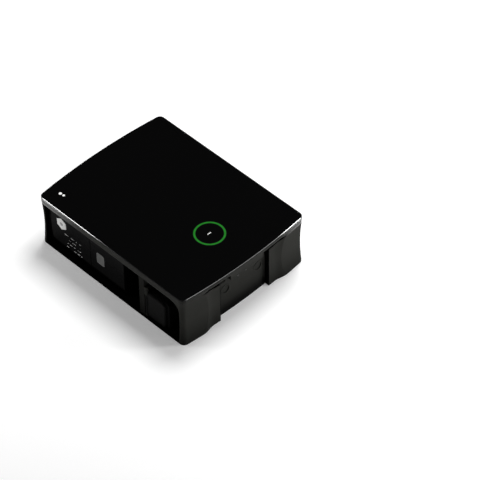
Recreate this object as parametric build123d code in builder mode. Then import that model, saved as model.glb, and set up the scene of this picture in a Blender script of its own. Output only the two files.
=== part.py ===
from build123d import *
import os
from math import asin, cos, degrees, sin, sqrt

# A wallbox for charging electric cars, lying on its back.
# X is its right-hand side seen from the front, Y points to its top end and Z out of the wall.
# The back plane is Z = 0 and the origin is the middle of the back.

os.makedirs("parts", exist_ok=True)

# Overall size
body_width = 332.0
body_height = 430.0
body_depth = 126.0
end_bow = 9.7
corner_radius = 12.0

# Walls and clearances
wall = 3.5
back_wall = 4.0
waist_depth = 3.0
waist_lip = 3.0
seat_gap = 0.2
run_fit = 0.05

# Front
glass_thickness = 3.0
glass_chamfer = 0.7
plate_thickness = 3.0
frame_chamfer = 0.8
skirt_height = 3.5
skirt_wall = 4.0
seam_gap = 0.5
gasket_width = 2.0
gasket_margin = 4.3

# Lower end: two legs and a set-back middle panel
leg_pad = body_width * 0.145
leg_step_run = body_width * 0.115
leg_step = 6.5
leg_groove_drop = 14.0
leg_groove_lip = 4.0
leg_groove_depth = 4.0
niche_width = body_width * 0.4
niche_depth = 16.5
niche_gap = 0.8
panel_wall = 3.0
panel_space = 3.0
brow_width = niche_width * 0.67
brow_height = 12.0
brow_sweep = 16.0
brow_bend = 0.3
entry_pitch = niche_width * 0.67
entry_drop = 22.0
entry_radius = 11.0
plug_flange = 1.3
plug_flange_height = 0.5
plug_depth = 4.2
plug_wall = 1.4
plug_floor = 3.0
grommet_flange = 2.0
grommet_flange_height = 1.4
cover_screw_pitch = 22.0
cover_screw_drop = 5.0

# Left side: framed opening with a panelled wall, a deep slot, a post and the socket bay
top_post = 11.5
bottom_post = 12.3
opening_band = 7.0
opening_lip = 3.0
opening_radius_top = 6.0
opening_radius_bottom = 24.0
recess_depth = 12.0
panel_thickness = 2.0
panel_margin = 2.5
panel_seam = 1.2
bay_length = 99.3
slot_width = 50.0
post_width = 14.0
post_depth = 12.0
bay_depth = 50.0
window_width = 22.0
window_height = 29.0
window_radius = 4.0
window_ledge = 2.0
label_share = 0.557
window_share = 0.293

# Socket flap and its hinge
hinge_inset = 7.0
hinge_drop = 4.0
barrel_radius = 3.4
pin_radius = 1.5
ear_length = 7.0
ear_rise = 14.0
ear_gap = 1.2
ear_clearance = 0.4
flap_foot = 1.0
flap_height = 66.0
flap_reach = 52.0
flap_outer = 2.0
flap_thickness = 4.4
flap_corner = 9.0
flap_round = 3.6
spring_wire = 0.3
spring_cover = 0.7
spring_turns = 4
spring_pitch = 1.6

# Charging socket, seven poles
tower_width = 62.0
tower_height = 68.0
tower_corner = 8.0
tower_gap = 0.5
tower_floor = 3.0
tower_wall = 5.0
well_radius = tower_width / 2 - tower_wall
well_key = 3.2
well_flat = well_radius - well_key
shroud_groove = 6.0
key_groove = 5.3
carrier_radius = well_radius - shroud_groove
carrier_flat = well_flat - key_groove
carrier_length = 30.0
carrier_flange = 1.0
carrier_flange_length = 3.0
spigot_step = 1.3
spigot_radius = carrier_radius - spigot_step
contact_radius = carrier_radius * 0.186
sleeve_wall = 1.0
contact_bore = contact_radius - sleeve_wall
signal_radius = carrier_radius * 0.124
signal_bore = signal_radius - sleeve_wall
contact_pitch = carrier_radius * 0.738
contact_row = carrier_radius * 0.638
signal_row = carrier_radius * 0.462
signal_pitch = carrier_radius * 0.667
contact_tail = 14.0
contact_setback = 2.0
tail_radius = 2.0
flap_seal_width = 1.8
flap_seal_height = 1.2

# Plug lock
bolt_radius = 2.5
bolt_clearance = 0.8
bolt_travel = key_groove - bolt_clearance
bolt_guide = 8.0
actuator_width = 20.0
actuator_length = 46.0
actuator_depth = 28.0
actuator_ear = 8.0
actuator_ear_thickness = 3.0
actuator_corner = 1.6

# Light ring in the front
ring_rise = 105.0
ring_radius = 33.5
ring_width = 4.4
holder_rim = 2.5
holder_flange = 2.5
holder_web = 2.0
ring_board_radius = 50.0
ring_board_thickness = 1.6
ring_boss_radius = 44.5
ring_boss_size = 3.2
led_count = 12
led_size = 2.2
led_height = 1.2
coil_radius = 24.0
coil_width = 5.0
coil_thickness = 0.4

# Boards and what stands on them
standoff_height = 14.0
standoff_radius = 4.0
board_thickness = 1.6
board_corner = 4.0
board_inset = 7.0
board_side_gap = 18.0
board_socket_gap = 30.0
power_board_low = 78.0
power_board_length = body_height * 0.377
control_board_gap = 20.0
control_board_top = 65.0
relay_width = 28.0
relay_length = 36.0
relay_height = 30.0
relay_pitch = 36.0
relay_count = 4
sensor_radius = 21.0
sensor_bore = 10.0
sensor_length = 18.0
terminal_width = 12.0
terminal_count = 5
terminal_length = 30.0
terminal_height = 36.0
terminal_hole = 4.0
terminal_screw = 2.8
supply_share = 0.26
supply_length = 44.0
supply_height = 26.0
jack_width = 17.0
jack_length = 22.0
jack_height = 14.0
jack_mouth_width = 12.0
jack_mouth_height = 8.4
jack_mouth_depth = 13.0

# Energy meter
meter_width = 54.0
meter_length = 36.0
meter_height = 88.0
meter_foot = 8.0
meter_foot_thickness = 3.0
meter_bevel = 1.0
meter_hole_depth = 3.0

# Supply cable clamp and earth stud
clamp_width = 46.0
clamp_length = 14.0
clamp_height = 12.0
clamp_groove = 8.5
clamp_rise = 20.0
earth_radius = 3.0
earth_length = 26.0
earth_flange = 7.5
earth_nut_radius = 5.7
earth_nut_height = 4.8

# Screws and the wall fixing
wall_hole_side = 66.0
wall_hole_end = 50.0
wall_hole_radius = 3.5
wall_collar_radius = 9.0
wall_collar_height = 3.0
screw_radius = 1.5
screw_head_radius = 3.0
screw_head_height = 1.8
screw_length = 9.0

# Places worked out from the sizes above
half_width = body_width / 2
half_height = body_height / 2
shoulder = half_height - end_bow
bow_radius = (half_width**2 + end_bow**2) / (2 * end_bow)
bow_centre = bow_radius - half_height
glass_bottom = body_depth - glass_thickness
plate_bottom = glass_bottom - plate_thickness
skirt_bottom = plate_bottom - skirt_height
housing_top = skirt_bottom - seam_gap
wall_inset = waist_depth + wall
niche_half = niche_width / 2
niche_back = niche_depth + panel_wall + panel_space
panel_half = niche_half - niche_gap
brow_low = skirt_bottom - brow_height
sweep_low = brow_low - brow_sweep
entry_height = sweep_low - entry_drop
groove_low = housing_top - leg_groove_drop
groove_high = housing_top - leg_groove_lip
wall_pitch_x = body_width - 2 * wall_hole_side
wall_pitch_y = body_height - 2 * wall_hole_end

opening_high = shoulder - top_post
opening_low = -shoulder + bottom_post
opening_front = housing_top - opening_band
recess_floor = -half_width + recess_depth
post_low = opening_low + bay_length
post_high = post_low + post_width
slot_high = post_high + slot_width
recess_length = opening_high - slot_high
bay_floor = -half_width + bay_depth
label_low = opening_high - recess_length * label_share
panel_face = recess_floor - panel_thickness
window_y = label_low - (label_low - slot_high) * window_share
window_z = (opening_front + opening_lip) / 2

hinge_x = -half_width + hinge_inset
hinge_y = post_low - hinge_drop
flap_low_z = opening_lip + flap_foot
flap_mid_z = flap_low_z + flap_height / 2
flap_face = hinge_x - flap_outer

tower_front = hinge_x + barrel_radius + tower_gap
tower_high = post_low - seat_gap
tower_y = tower_high - tower_width / 2
tower_z = opening_lip + tower_height / 2
well_floor = bay_floor - tower_floor
actuator_front = -half_width + waist_depth + post_depth + seat_gap
bolt_x = actuator_front + actuator_depth / 2
bolt_tip = tower_y + well_flat + seat_gap
bolt_length = tower_width / 2 - well_flat + bolt_travel + bolt_guide

ring_y = -half_height + ring_rise
holder_radius = ring_radius + holder_rim
channel_inner = ring_radius - ring_width
ring_board_top = plate_bottom - holder_web
ring_board_bottom = ring_board_top - ring_board_thickness
cavity_left = recess_floor + wall
cavity_right = half_width - wall_inset
bay_inner = bay_floor + wall
board_left = bay_inner + board_socket_gap
board_right = cavity_right - board_side_gap
board_mid = (board_left + board_right) / 2
board_width = board_right - board_left
board_bottom = back_wall + standoff_height
board_top = board_bottom + board_thickness
power_low = -half_height + power_board_low
power_high = power_low + power_board_length
control_low = power_high + control_board_gap
control_high = half_height - control_board_top
control_board_length = control_high - control_low
supply_width = board_width * supply_share


def bow_point(x, inset):
    """Point of the bowed lower end at x, drawn in by inset."""
    return (x, bow_centre - sqrt((bow_radius - inset) ** 2 - x**2))


def front_outline():
    """Face of the front: straight sides, bowed ends and rounded corners."""
    with BuildSketch() as outline:
        with BuildLine():
            Line((-half_width, shoulder), (-half_width, -shoulder))
            ThreePointArc((-half_width, -shoulder), (0, -half_height), (half_width, -shoulder))
            Line((half_width, -shoulder), (half_width, shoulder))
            ThreePointArc((half_width, shoulder), (0, half_height), (-half_width, shoulder))
        make_face()
        fillet(outline.vertices(), corner_radius)
    return outline.sketch


def housing_outline():
    """Front outline with the lower end stepped back to two legs and a niche between them."""
    pad_x = half_width - leg_pad
    step_x = pad_x - leg_step_run
    pad_end = bow_point(pad_x, 0)
    step_end = bow_point(step_x, leg_step)
    step_mid = ((pad_x + step_x) / 2, (pad_end[1] + step_end[1]) / 2)
    with BuildSketch() as outline:
        with BuildLine() as half:
            quarter = half_width / 2
            ThreePointArc((0, half_height), (quarter, -bow_point(quarter, 0)[1]), (half_width, shoulder))
            Line((half_width, shoulder), (half_width, -shoulder))
            pad = ThreePointArc((half_width, -shoulder), bow_point(half_width - leg_pad / 2, 0), pad_end)
            sweep_in = TangentArc(pad_end, step_mid, tangent=pad % 1)
            TangentArc(step_mid, step_end, tangent=sweep_in % 1)
            leg_mid = bow_point((step_x + niche_half) / 2, leg_step)
            ThreePointArc(step_end, leg_mid, bow_point(niche_half, leg_step))
            niche_corner = bow_point(niche_half, niche_back)
            Line(bow_point(niche_half, leg_step), niche_corner)
            ThreePointArc(niche_corner, bow_point(niche_half / 2, niche_back), bow_point(0, niche_back))
            mirror(half.line, about=Plane.YZ)
        make_face()
        sharp = outline.vertices().filter_by(lambda v: abs(abs(v.X) - half_width) < 0.01)
        fillet(sharp, corner_radius)
    return outline.sketch


def lower_end_plane(x, z, inset):
    """Plane square to the bowed lower end at x and z, facing out, drawn in by inset."""
    y = bow_point(x, inset)[1]
    return Plane(origin=(x, y, z), x_dir=(bow_centre - y, x, 0), z_dir=(x, y - bow_centre, 0))


def turned_plane(turn):
    """Upright plane through the centre of the bow, turned to the left from the middle of the lower end."""
    return Plane(
        origin=(0, bow_centre, 0),
        x_dir=(-sin(turn), -cos(turn), 0),
        z_dir=(-cos(turn), sin(turn), 0),
    )


def pan_screw(seat, length):
    """Screw whose head stands on the seat plane, with its shank going down behind it."""
    with BuildPart(seat) as screw:
        Cylinder(screw_head_radius, screw_head_height, align=(Align.CENTER, Align.CENTER, Align.MIN))
        chamfer(screw.faces().sort_by(Axis(seat.origin, seat.z_dir))[-1].edges(), screw_head_height / 3)
        Cylinder(screw_radius, length, align=(Align.CENTER, Align.CENTER, Align.MAX))
    return screw.part


# Where the screws stand
wall_points = [(sx * wall_pitch_x / 2, sy * wall_pitch_y / 2) for sx in (-1, 1) for sy in (-1, 1)]
board_xs = (board_left + board_inset, board_right - board_inset)
power_ys = (power_low + board_inset, power_high - board_inset)
control_ys = (control_low + board_inset, control_high - board_inset)
board_points = [(x, y) for x in board_xs for y in power_ys + control_ys]
entry_points = [(-entry_pitch / 2, entry_height), (entry_pitch / 2, entry_height)]
cover_screw_z = sweep_low - cover_screw_drop
cover_screw_points = [(-cover_screw_pitch / 2, cover_screw_z), (cover_screw_pitch / 2, cover_screw_z)]
tower_points = [
    (tower_y + sy * (tower_width / 2 - tower_corner), tower_z + sz * (tower_height / 2 - tower_corner))
    for sy in (-1, 1)
    for sz in (-1, 1)
]
meter_y = window_y
meter_x = cavity_left + meter_width / 2
meter_points = [(meter_x, meter_y + s * (meter_length + meter_foot) / 2) for s in (-1, 1)]
clamp_y = -wall_pitch_y / 2
clamp_points = [(entry_pitch / 2 + s * (clamp_width / 2 - standoff_radius), clamp_y) for s in (-1, 1)]
actuator_zs = [tower_z - (actuator_length + actuator_ear) / 2, tower_z + (actuator_length + actuator_ear) / 2]

# Cutter of the shadow groove: a band along the lower end, narrowing over the outward step of each leg
with BuildPart() as leg_grooves:
    with BuildSketch(Plane.XY.offset(groove_low)):
        add(housing_outline())
        offset(amount=-leg_groove_depth, mode=Mode.SUBTRACT)
    extrude(amount=groove_high - groove_low)
    with BuildSketch(Plane.XZ.offset(half_height / 2)):
        with BuildLine() as run_out:
            pad_x = half_width - leg_pad
            inside = niche_half - leg_groove_depth
            Polyline(
                (inside, groove_low),
                (pad_x - leg_step_run, groove_low),
                (pad_x, groove_high),
                (inside, groove_high),
                close=True,
            )
        make_face()
        mirror(about=Plane.YZ)
    extrude(amount=half_height, mode=Mode.INTERSECT)

# Rear housing: one charcoal moulding with waisted sides, two legs and the framed bay in its left side
with BuildPart() as rear_housing:
    with BuildSketch():
        add(housing_outline())
    extrude(amount=housing_top)
    # Shallow waist all round, between two narrow lips
    rim = front_outline().face().outer_wire()
    waist_plane = Plane(origin=rim @ 0, x_dir=(rim % 0).cross(Vector(0, 0, 1)), z_dir=rim % 0)
    outward = 1 if waist_plane.x_dir.dot(rim @ 0) > 0 else -1
    upward = 1 if waist_plane.y_dir.Z > 0 else -1
    with BuildSketch(waist_plane):
        with BuildLine():
            low = (outward, upward * waist_lip)
            high = (outward, upward * (housing_top - waist_lip))
            ThreePointArc((0, low[1]), (-outward * waist_depth, upward * housing_top / 2), (0, high[1]))
            Polyline((0, high[1]), high, low, (0, low[1]))
        make_face()
    sweep(path=rim, mode=Mode.SUBTRACT)
    # Main hollow, open to the front, clear of the recess and the bay
    with BuildSketch(Plane.XY.offset(back_wall)):
        add(housing_outline())
        offset(amount=-wall_inset)
        with Locations((-half_width, 0)):
            Rectangle(2 * (recess_depth + wall), body_height, mode=Mode.SUBTRACT)
        with Locations((-half_width, (slot_high + opening_low) / 2)):
            Rectangle(2 * (bay_depth + wall), slot_high - opening_low + 2 * wall, mode=Mode.SUBTRACT)
    extrude(amount=housing_top, mode=Mode.SUBTRACT)
    # Framed opening in the left side: a shallow recess, then the deep bay
    with BuildSketch(Plane.YZ.offset(-half_width)) as opening:
        with Locations(((opening_high + opening_low) / 2, (opening_front + opening_lip) / 2)):
            Rectangle(opening_high - opening_low, opening_front - opening_lip)
        front_corners = opening.vertices().group_by(Axis.Y)[-1].sort_by(Axis.X)
        fillet(front_corners[-1], opening_radius_top)
        fillet(opening.vertices().group_by(Axis.Y)[-1].sort_by(Axis.X)[0], opening_radius_bottom)
    extrude(amount=recess_depth, mode=Mode.SUBTRACT)
    with BuildSketch(Plane.YZ.offset(-half_width)) as bay:
        with Locations(((slot_high + opening_low) / 2, (opening_front + opening_lip) / 2)):
            Rectangle(slot_high - opening_low, opening_front - opening_lip)
        fillet(bay.vertices().group_by(Axis.Y)[-1].sort_by(Axis.X)[0], opening_radius_bottom)
    extrude(amount=bay_depth, mode=Mode.SUBTRACT)
    # Post across the bay, with two ears for the hinge pin of the flap
    with BuildSketch(Plane.XY.offset(opening_lip)):
        with Locations((-half_width + waist_depth, (post_high + post_low) / 2)):
            Rectangle(post_depth, post_width, align=(Align.MIN, Align.CENTER))
    extrude(amount=opening_front - opening_lip)
    upper_ear = flap_low_z + flap_height - ear_length
    for ear_z, ear_height in ((flap_low_z, ear_length), (upper_ear, ear_length + ear_rise)):
        with BuildSketch(Plane.XY.offset(ear_z)):
            with Locations((hinge_x, hinge_y)):
                Circle(barrel_radius)
            with Locations((hinge_x, post_low)):
                Rectangle(2 * barrel_radius, hinge_drop, align=(Align.CENTER, Align.MAX))
            with Locations((hinge_x, hinge_y)):
                Circle(pin_radius + run_fit, mode=Mode.SUBTRACT)
        extrude(amount=ear_height)
    # Behind the bay: passage for the contacts and four screw holes
    with BuildSketch(Plane.YZ.offset(bay_floor)):
        with Locations((tower_y, tower_z)):
            Circle(spigot_radius + seat_gap)
        with Locations(*tower_points):
            Circle(screw_radius + seat_gap)
    extrude(amount=wall, mode=Mode.SUBTRACT)
    # Opening behind the meter window, smaller than the window so that it has a ledge
    with BuildSketch(Plane.YZ.offset(recess_floor)):
        with Locations((window_y, window_z)):
            RectangleRounded(
                window_width - 2 * window_ledge,
                window_height - 2 * window_ledge,
                window_radius - window_ledge,
            )
    extrude(amount=wall, mode=Mode.SUBTRACT)
    # Cable entries and pilot holes of the cover screws in the lower wall
    for x, z in entry_points:
        with BuildSketch(lower_end_plane(x, z, niche_back)):
            Circle(entry_radius)
        extrude(amount=-2 * wall_inset, mode=Mode.SUBTRACT)
    for x, z in cover_screw_points:
        with BuildSketch(lower_end_plane(x, z, niche_back)):
            Circle(screw_radius + run_fit)
        extrude(amount=-wall_inset, mode=Mode.SUBTRACT)
    # Standoffs of the boards, the meter and the clamp, and collars round the wall screws
    with BuildSketch(Plane.XY.offset(back_wall)):
        with Locations(*board_points):
            Circle(standoff_radius)
            Circle(screw_radius + run_fit, mode=Mode.SUBTRACT)
    extrude(amount=standoff_height)
    with BuildSketch(Plane.XY.offset(back_wall)):
        with Locations(*clamp_points):
            Circle(standoff_radius)
            Circle(screw_radius + run_fit, mode=Mode.SUBTRACT)
    extrude(amount=clamp_rise)
    with BuildSketch(Plane.XY.offset(back_wall)):
        with Locations(*wall_points):
            Circle(wall_collar_radius)
    extrude(amount=wall_collar_height)
    with BuildSketch():
        with Locations(*wall_points):
            Circle(wall_hole_radius)
    extrude(amount=back_wall + wall_collar_height, mode=Mode.SUBTRACT)
    # Holes of the meter's foot screws
    with BuildSketch(Plane.XY.offset(back_wall)):
        with Locations(*meter_points):
            Circle(screw_radius + run_fit)
    extrude(amount=-meter_hole_depth, mode=Mode.SUBTRACT)
    # Shadow groove over both legs, running out to nothing where the legs come level with the frame
    add(leg_grooves.part, mode=Mode.SUBTRACT)
rear_housing.part.label = "rear_housing"
export_step(rear_housing.part, "parts/rear_housing.step")

# Front frame: charcoal plate with a skirt all round and the set-back panel of the lower end
with BuildPart() as front_frame:
    with BuildSketch(Plane.XY.offset(skirt_bottom)):
        add(front_outline())
    extrude(amount=glass_bottom - skirt_bottom)
    chamfer(front_frame.faces().sort_by(Axis.Z)[-1].edges(), frame_chamfer)
    with BuildSketch(Plane.XY.offset(skirt_bottom)):
        add(front_outline())
        offset(amount=-skirt_wall)
    extrude(amount=skirt_height, mode=Mode.SUBTRACT)
    # Set-back panel and, over its middle, a brow that sweeps out to the frame
    bow_axis = Axis((0, bow_centre, 0), (0, 0, 1))
    panel_turn = asin(panel_half / bow_radius)
    brow_turn = asin(brow_width / 2 / bow_radius)
    outer = bow_radius
    inner = bow_radius - skirt_wall
    panel_outer = bow_radius - niche_depth
    panel_inner = panel_outer - panel_wall
    bend_in = niche_depth * brow_bend
    bend_low = brow_low - brow_sweep * brow_bend
    with BuildSketch(turned_plane(panel_turn)):
        with Locations((panel_inner, seam_gap)):
            Rectangle(panel_wall, sweep_low - seam_gap, align=(Align.MIN, Align.MIN))
    revolve(axis=bow_axis, revolution_arc=2 * degrees(panel_turn))
    with BuildSketch(turned_plane(brow_turn)):
        with BuildLine():
            Line((panel_outer, sweep_low), (panel_inner, sweep_low))
            ThreePointArc((panel_outer, sweep_low), (panel_outer + bend_in, bend_low), (outer, brow_low))
            Polyline((outer, brow_low), (outer, skirt_bottom), (inner, skirt_bottom), (inner, brow_low))
            ThreePointArc((panel_inner, sweep_low), (panel_inner + bend_in, bend_low), (inner, brow_low))
        make_face()
    revolve(axis=bow_axis, revolution_arc=2 * degrees(brow_turn))
    # Cable entries and spacers of the cover screws in the panel
    for x, z in entry_points:
        with BuildSketch(lower_end_plane(x, z, niche_depth)):
            Circle(entry_radius)
        extrude(amount=-panel_wall - wall, mode=Mode.SUBTRACT)
    for x, z in cover_screw_points:
        with BuildSketch(lower_end_plane(x, z, niche_depth + panel_wall)):
            Circle(standoff_radius)
        extrude(amount=-panel_space)
        with BuildSketch(lower_end_plane(x, z, niche_depth)):
            Circle(screw_radius + run_fit)
        extrude(amount=-panel_wall - panel_space, mode=Mode.SUBTRACT)
    # Seat of the light ring and the three bosses of its board
    with BuildSketch(Plane.XY.offset(plate_bottom)):
        with Locations((0, ring_y)):
            Circle(holder_radius + seat_gap)
    extrude(amount=plate_thickness, mode=Mode.SUBTRACT)
    with BuildSketch(Plane.XY.offset(ring_board_top)):
        with Locations((0, ring_y)):
            with PolarLocations(ring_boss_radius, 3, start_angle=90):
                Circle(ring_boss_size)
    extrude(amount=holder_web)
    with BuildSketch(Plane.XY.offset(ring_board_top)):
        with Locations((0, ring_y)):
            with PolarLocations(ring_boss_radius, 3, start_angle=90):
                Circle(screw_radius + run_fit)
    extrude(amount=holder_web + plate_thickness / 2, mode=Mode.SUBTRACT)
front_frame.part.label = "front_frame"
export_step(front_frame.part, "parts/front_frame.step")

# Front glass: one sheet over the whole front, its edge bevelled all round
with BuildPart() as front_glass:
    with BuildSketch(Plane.XY.offset(glass_bottom)):
        add(front_outline())
    extrude(amount=glass_thickness)
    chamfer(front_glass.faces().sort_by(Axis.Z)[-1].edges(), glass_chamfer)
front_glass.part.label = "front_glass"
export_step(front_glass.part, "parts/front_glass.step")

# Gasket: soft ring between the housing rim and the front frame
with BuildPart() as cover_gasket:
    with BuildSketch(Plane.XY.offset(housing_top)) as ring:
        add(housing_outline())
        offset(amount=-gasket_margin)
    with BuildSketch(Plane.XY.offset(housing_top)) as hole:
        add(housing_outline())
        offset(amount=-gasket_margin - gasket_width)
    extrude(ring.sketch, amount=plate_bottom - housing_top)
    extrude(hole.sketch, amount=plate_bottom - housing_top, mode=Mode.SUBTRACT)
cover_gasket.part.label = "cover_gasket"
export_step(cover_gasket.part, "parts/cover_gasket.step")

# Two screws under the brow hold the front frame to the housing
with BuildPart() as cover_screws:
    for x, z in cover_screw_points:
        add(pan_screw(lower_end_plane(x, z, niche_depth - run_fit), screw_length))
cover_screws.part.label = "cover_screws"
export_step(cover_screws.part, "parts/cover_screws.step")

# Dished plugs that close the two cable entries of the panel until a cable is led in
with BuildPart() as entry_plugs:
    for x, z in entry_points:
        face = lower_end_plane(x, z, niche_depth - 2 * run_fit)
        with BuildSketch(face):
            Circle(entry_radius + plug_flange)
        extrude(amount=plug_flange_height)
        with BuildSketch(face):
            Circle(entry_radius - run_fit)
        extrude(amount=-plug_depth)
        with BuildSketch(face.offset(plug_floor - plug_depth)):
            Circle(entry_radius - plug_wall)
        extrude(amount=plug_depth + plug_flange_height, mode=Mode.SUBTRACT)
entry_plugs.part.label = "entry_plugs"
export_step(entry_plugs.part, "parts/entry_plugs.step")

# Rubber grommets with a closed skin in the two holes of the housing wall
with BuildPart() as entry_grommets:
    for x, z in entry_points:
        face = lower_end_plane(x, z, niche_back - 2 * run_fit)
        with BuildSketch(face):
            Circle(entry_radius + grommet_flange)
            Circle(entry_radius - grommet_flange, mode=Mode.SUBTRACT)
        extrude(amount=grommet_flange_height)
        with BuildSketch(face):
            Circle(entry_radius - run_fit)
        extrude(amount=-grommet_flange_height)
entry_grommets.part.label = "entry_grommets"
export_step(entry_grommets.part, "parts/entry_grommets.step")

# Holder of the light ring: a black cup with a round channel and a window under each lamp
with BuildPart() as light_guide_holder:
    with BuildSketch(Plane.XY.offset(ring_board_top)):
        with Locations((0, ring_y)):
            Circle(holder_radius + holder_flange)
    extrude(amount=holder_web)
    with BuildSketch(Plane.XY.offset(plate_bottom)):
        with Locations((0, ring_y)):
            Circle(holder_radius)
            Circle(ring_radius, mode=Mode.SUBTRACT)
            Circle(channel_inner)
    extrude(amount=plate_thickness)
    with BuildSketch(Plane.XY.offset(ring_board_top)):
        with Locations((0, ring_y)):
            with PolarLocations((ring_radius + channel_inner) / 2, led_count):
                Circle(led_size)
    extrude(amount=holder_web, mode=Mode.SUBTRACT)
light_guide_holder.part.label = "light_guide_holder"
export_step(light_guide_holder.part, "parts/light_guide_holder.step")

# Light guide: the clear ring that glows green under the glass
with BuildPart() as led_light_guide:
    with BuildSketch(Plane.XY.offset(plate_bottom)):
        with Locations((0, ring_y)):
            Circle(ring_radius - run_fit)
            Circle(channel_inner + run_fit, mode=Mode.SUBTRACT)
    extrude(amount=plate_thickness)
led_light_guide.part.label = "led_light_guide"
export_step(led_light_guide.part, "parts/led_light_guide.step")

# Round board under the light ring, held by three screws
with BuildPart() as led_ring_board:
    with BuildSketch(Plane.XY.offset(ring_board_bottom)):
        with Locations((0, ring_y)):
            Circle(ring_board_radius)
            with PolarLocations(ring_boss_radius, 3, start_angle=90):
                Circle(screw_radius + run_fit, mode=Mode.SUBTRACT)
    extrude(amount=ring_board_thickness)
led_ring_board.part.label = "led_ring_board"
export_step(led_ring_board.part, "parts/led_ring_board.step")

# Lamps of the ring, one in each window of the holder
with BuildPart() as ring_leds:
    with BuildSketch(Plane.XY.offset(ring_board_top)):
        with Locations((0, ring_y)):
            with PolarLocations((ring_radius + channel_inner) / 2, led_count):
                Rectangle(led_size, led_size)
    extrude(amount=led_height)
ring_leds.part.label = "ring_leds"
export_step(ring_leds.part, "parts/ring_leds.step")

# Flat aerial coil of the card reader under the round board
with BuildPart() as rfid_coil:
    with BuildSketch(Plane.XY.offset(ring_board_bottom - coil_thickness)):
        with Locations((0, ring_y)):
            Circle(coil_radius)
            Circle(coil_radius - coil_width, mode=Mode.SUBTRACT)
    extrude(amount=coil_thickness)
rfid_coil.part.label = "rfid_coil"
export_step(rfid_coil.part, "parts/rfid_coil.step")

# Three screws of the round board, heads downwards
with BuildPart() as ring_board_screws:
    for place in PolarLocations(ring_boss_radius, 3, start_angle=90).local_locations:
        x, y = place.position.X, ring_y + place.position.Y
        seat = Plane(origin=(x, y, ring_board_bottom), z_dir=(0, 0, -1))
        add(pan_screw(seat, ring_board_thickness + holder_web + plate_thickness / 3))
ring_board_screws.part.label = "ring_board_screws"
export_step(ring_board_screws.part, "parts/ring_board_screws.step")

# Black trim sheet with the badge, in the upper part of the side recess
with BuildPart() as label_panel:
    with BuildSketch(Plane.YZ.offset(panel_face)) as sheet:
        with BuildLine():
            Polyline(
                (label_low + panel_seam / 2, opening_lip + panel_margin),
                (opening_high - panel_margin, opening_lip + panel_margin),
                (opening_high - panel_margin, opening_front - panel_margin),
                (label_low + panel_seam / 2, opening_front - panel_margin),
                close=True,
            )
        make_face()
        fillet(sheet.vertices(), panel_margin)
    extrude(amount=panel_thickness)
label_panel.part.label = "label_panel"
export_step(label_panel.part, "parts/label_panel.step")

# Black trim sheet with the meter's window
with BuildPart() as meter_panel:
    with BuildSketch(Plane.YZ.offset(panel_face)) as sheet:
        with BuildLine():
            Polyline(
                (slot_high + panel_seam, opening_lip + panel_margin),
                (label_low - panel_seam / 2, opening_lip + panel_margin),
                (label_low - panel_seam / 2, opening_front - panel_margin),
                (slot_high + panel_seam, opening_front - panel_margin),
                close=True,
            )
        make_face()
        fillet(sheet.vertices(), panel_margin)
        with Locations((window_y, window_z)):
            RectangleRounded(window_width, window_height, window_radius, mode=Mode.SUBTRACT)
    extrude(amount=panel_thickness)
meter_panel.part.label = "meter_panel"
export_step(meter_panel.part, "parts/meter_panel.step")

# Pale window of the meter, let into its panel and resting on the ledge of the housing wall
with BuildPart() as meter_window:
    with BuildSketch(Plane.YZ.offset(panel_face)):
        with Locations((window_y, window_z)):
            RectangleRounded(window_width - 2 * run_fit, window_height - 2 * run_fit, window_radius - run_fit)
    extrude(amount=panel_thickness)
meter_window.part.label = "meter_window"
export_step(meter_window.part, "parts/meter_window.step")

# Energy meter, a box on two feet with its face behind the window
with BuildPart() as energy_meter:
    with BuildSketch(Plane.XY.offset(back_wall)) as plan:
        with Locations((cavity_left + seat_gap, meter_y)):
            Rectangle(meter_width, meter_length, align=(Align.MIN, Align.CENTER))
    extrude(amount=meter_height)
    chamfer(energy_meter.faces().sort_by(Axis.Z)[-1].edges(), meter_bevel)
    with BuildSketch(Plane.XY.offset(back_wall)):
        with Locations((meter_x, meter_y)):
            Rectangle(meter_width / 3, meter_length + 2 * meter_foot)
        with Locations(*meter_points):
            Circle(screw_radius + run_fit, mode=Mode.SUBTRACT)
    extrude(amount=meter_foot_thickness)
energy_meter.part.label = "energy_meter"
export_step(energy_meter.part, "parts/energy_meter.step")

with BuildPart() as meter_screws:
    for x, y in meter_points:
        add(pan_screw(Plane((x, y, back_wall + meter_foot_thickness)), meter_foot_thickness + back_wall / 2))
meter_screws.part.label = "meter_screws"
export_step(meter_screws.part, "parts/meter_screws.step")

# Socket housing: a square tower in the bay with the round well that takes the plug
with BuildPart() as socket_housing:
    with BuildSketch(Plane.YZ.offset(tower_front)):
        with Locations((tower_y, tower_z)):
            RectangleRounded(tower_width, tower_height, tower_corner)
    extrude(amount=bay_floor - tower_front)
    with BuildSketch(Plane.YZ.offset(tower_front)):
        with Locations((tower_y, tower_z)):
            Circle(well_radius)
        with Locations((tower_y + well_flat, tower_z)):
            Rectangle(well_radius, 2 * well_radius, align=(Align.MIN, Align.CENTER), mode=Mode.SUBTRACT)
    extrude(amount=well_floor - tower_front, mode=Mode.SUBTRACT)
    with BuildSketch(Plane.YZ.offset(well_floor)):
        with Locations((tower_y, tower_z)):
            Circle(spigot_radius + seat_gap)
    extrude(amount=tower_floor, mode=Mode.SUBTRACT)
    # Passage of the lock bolt and holes of the screws
    with BuildSketch(Plane.XZ.offset(-tower_high)):
        with Locations((bolt_x, tower_z)):
            Circle(bolt_radius + run_fit)
    extrude(amount=tower_width / 2 - well_flat + seat_gap, mode=Mode.SUBTRACT)
    with BuildSketch(Plane.XZ.offset(-tower_high)):
        with Locations(*[(bolt_x, z) for z in actuator_zs]):
            Circle(screw_radius + run_fit)
    extrude(amount=screw_length, mode=Mode.SUBTRACT)
    with BuildSketch(Plane.YZ.offset(bay_floor)):
        with Locations(*tower_points):
            Circle(screw_radius + run_fit)
    extrude(amount=-screw_length, mode=Mode.SUBTRACT)
socket_housing.part.label = "socket_housing"
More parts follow.
